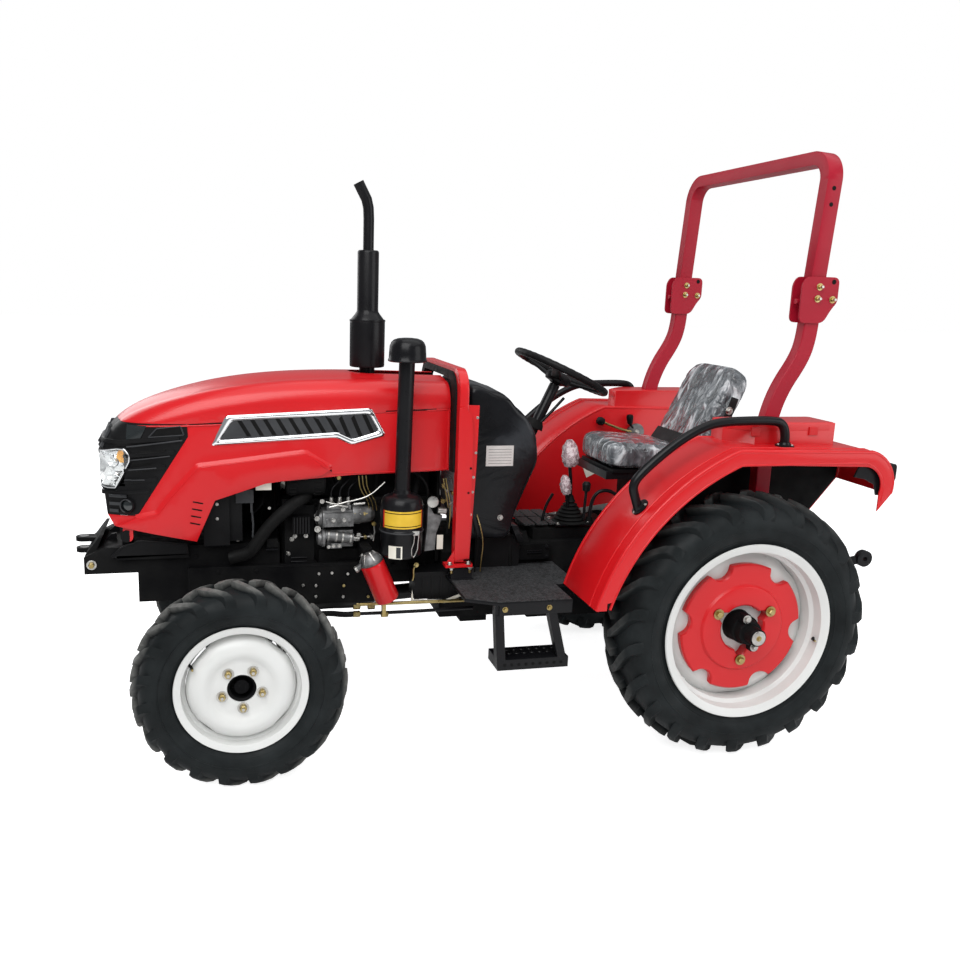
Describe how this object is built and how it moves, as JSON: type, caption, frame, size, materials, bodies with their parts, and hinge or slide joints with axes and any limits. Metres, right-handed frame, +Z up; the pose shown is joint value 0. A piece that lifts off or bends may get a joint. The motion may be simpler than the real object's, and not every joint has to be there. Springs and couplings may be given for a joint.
{
  "type": "farm tractor",
  "caption": "Four-wheel-drive farm tractor with steered front axle, tilting hood, folding roll bar, open platform, seat, exhaust stack and three-point rear linkage.",
  "frame": {"origin": "bottom centre of the box around the tractor: on the ground, midway along and across it", "axes": "+X forward, +Y to the left side, +Z up; wheels spin about +Y"},
  "size_m": [3.225, 1.678, 2.2318],
  "materials": {
    "red_paint": "gloss",
    "dark_red_paint": "satin",
    "black_paint": "satin",
    "black_casting": "satin paint",
    "white_paint": "gloss",
    "tyre": "matt",
    "rubber": "matt",
    "black_plastic": "satin",
    "alloy": "cast",
    "steel": "zinc",
    "seat_vinyl": "vinyl under clear film",
    "lamp_glass": "clear",
    "lamp_red": "gloss"
  },
  "bodies": {
    "chassis": {"front_bracket": "black_casting", "side_rails": "black_casting", "radiator": "black_paint", "engine": "black_casting", "engine_fittings": "alloy", "oil_filter": "red_paint", "exhaust": "black_paint", "air_cleaner": "black_paint", "clutch_housing": "black_casting", "gearbox": "black_casting", "rear_axle_housing": "black_casting", "hydraulic_lift": "black_casting", "drawbar": "black_paint", "power_take_off": "steel", "driveshaft": "black_paint", "arch_frame": "red_paint", "hood_seal": "rubber", "dash_cowl": "black_plastic", "steering_column": "black_paint", "platform_left": "black_paint", "platform_right": "black_paint", "fender_left": "red_paint", "fender_right": "red_paint", "roll_bar_posts": "dark_red_paint", "grab_rails": "black_paint", "seat_frame": "black_paint", "seat_cushion": "seat_vinyl", "seat_back": "seat_vinyl", "controls": "black_plastic", "pedals": "black_paint", "front_axle": "black_casting", "tail_lamps": "lamp_red"},
    "hood": {"hood_top": "red_paint", "hood_side_left": "red_paint", "hood_side_right": "red_paint", "grille": "black_plastic", "headlamps": "lamp_glass"},
    "knuckle_left": {"knuckle_left": "black_casting"},
    "knuckle_right": {"knuckle_right": "black_casting"},
    "tie_rod": {"tie_rod": "black_paint"},
    "steering_ram": {"steering_ram": "steel"},
    "steering_wheel": {"steering_wheel": "black_plastic"},
    "roll_bar": {"roll_bar_hoop": "dark_red_paint"},
    "lift_arms": {"lift_arms": "black_casting"},
    "lift_rods": {"lift_rods": "black_paint"},
    "lower_links": {"lower_links": "black_paint"},
    "wheel_front_left": {"tyre_front_left": "tyre", "rim_front_left": "white_paint"},
    "wheel_rear_left": {"tyre_rear_left": "tyre", "rim_rear_left": "white_paint", "wheel_weight_left": "red_paint", "hub_rear_left": "black_casting"},
    "wheel_front_right": {"tyre_front_right": "tyre", "rim_front_right": "white_paint"},
    "wheel_rear_right": {"tyre_rear_right": "tyre", "rim_rear_right": "white_paint", "wheel_weight_right": "red_paint", "hub_rear_right": "black_casting"}
  },
  "joints": [
    {"name": "rear_wheel_left_spin", "type": "hinge", "parent": "chassis", "child": "wheel_rear_left", "pos_m": [-0.7915, 0.661, 0.505], "axis": [0, 1, 0], "continuous": true},
    {"name": "rear_wheel_right_spin", "type": "hinge", "parent": "chassis", "child": "wheel_rear_right", "pos_m": [-0.7915, -0.661, 0.505], "axis": [0, 1, 0], "continuous": true},
    {"name": "steer_left", "type": "hinge", "parent": "chassis", "child": "knuckle_left", "pos_m": [1.0205, 0.45, 0.4], "axis": [0, 0, 1], "range_deg": [-40, 40]},
    {"name": "steer_right", "type": "hinge", "parent": "chassis", "child": "knuckle_right", "pos_m": [1.0205, -0.45, 0.4], "axis": [0, 0, 1], "range_deg": [-40, 40]},
    {"name": "front_wheel_left_spin", "type": "hinge", "parent": "knuckle_left", "child": "wheel_front_left", "pos_m": [1.0205, 0.597, 0.365], "axis": [0, 1, 0], "continuous": true},
    {"name": "front_wheel_right_spin", "type": "hinge", "parent": "knuckle_right", "child": "wheel_front_right", "pos_m": [1.0205, -0.597, 0.365], "axis": [0, 1, 0], "continuous": true},
    {"name": "tie_rod_pivot", "type": "hinge", "parent": "knuckle_left", "child": "tie_rod", "pos_m": [0.8505, 0.45, 0.3], "axis": [0, 0, 1], "range_deg": [-40, 40]},
    {"name": "ram_slide", "type": "slide", "parent": "chassis", "child": "steering_ram", "axis": [0, -1, 0], "range_m": [-0.0966, 0.0966]},
    {"name": "steering_wheel_turn", "type": "hinge", "parent": "chassis", "child": "steering_wheel", "pos_m": [-0.28813, 0, 1.34619], "axis": [-0.4226, 0, 0.9063], "range_deg": [-600, 600]},
    {"name": "hood_tilt", "type": "hinge", "parent": "chassis", "child": "hood", "pos_m": [1.4085, 0, 0.79], "axis": [0, 1, 0], "range_deg": [0, 55]},
    {"name": "roll_bar_fold", "type": "hinge", "parent": "chassis", "child": "roll_bar", "pos_m": [-1.1435, 0, 1.699], "axis": [0, -1, 0], "range_deg": [0, 90]},
    {"name": "linkage_lift", "type": "hinge", "parent": "chassis", "child": "lower_links", "pos_m": [-0.9015, 0, 0.42], "axis": [0, 1, 0], "range_deg": [-33, 8]},
    {"name": "arm_lift", "type": "hinge", "parent": "chassis", "child": "lift_arms", "pos_m": [-0.9415, 0, 0.88], "axis": [0, 1, 0], "range_deg": [-33, 8]},
    {"name": "rod_swing", "type": "hinge", "parent": "lower_links", "child": "lift_rods", "pos_m": [-1.18799, 0, 0.509], "axis": [0, 1, 0], "range_deg": [-8, 33]}
  ],
  "couplings": [
    {"joint": "steer_right", "follows": "steer_left", "ratio": 1},
    {"joint": "tie_rod_pivot", "follows": "steer_left", "ratio": -1},
    {"joint": "ram_slide", "follows": "steer_left", "m_per_rad": 0.13811},
    {"joint": "steering_wheel_turn", "follows": "steer_left", "ratio": 15},
    {"joint": "arm_lift", "follows": "linkage_lift", "ratio": 1},
    {"joint": "rod_swing", "follows": "linkage_lift", "ratio": -1}
  ]
}
